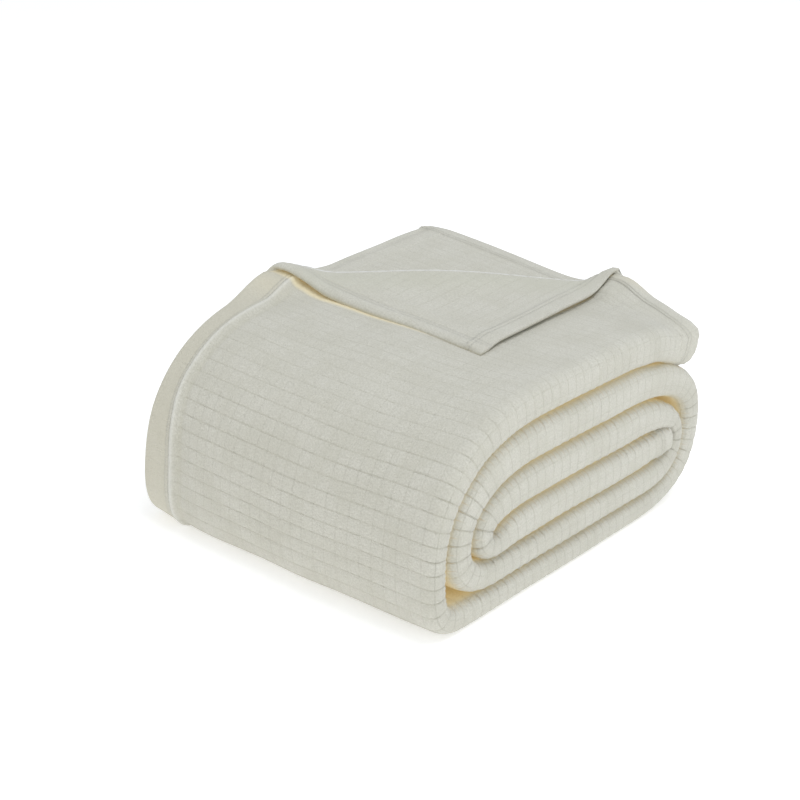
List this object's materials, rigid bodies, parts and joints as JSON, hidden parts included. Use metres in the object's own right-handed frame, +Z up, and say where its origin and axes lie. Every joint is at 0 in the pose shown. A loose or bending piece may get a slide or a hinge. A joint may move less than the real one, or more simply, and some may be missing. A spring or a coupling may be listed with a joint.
{
  "type": "fleece blanket",
  "caption": "Plush fleece blanket folded lengthwise into a thick strip and wound into a flat, soft roll, with a hemmed corner of its top layer turned over.",
  "frame": {"origin": "centre of the bounding box in plan, on the flat underside", "axes": "X along the roll from the hemmed edges to the round fold, Y from the front of the roll to its free end at the back, Z up"},
  "size_m": [0.3452, 0.4058, 0.1978],
  "materials": {
    "fleece": "short matte pile"
  },
  "bodies": {
    "root": {"blanket": "fleece"}
  },
  "joints": []
}
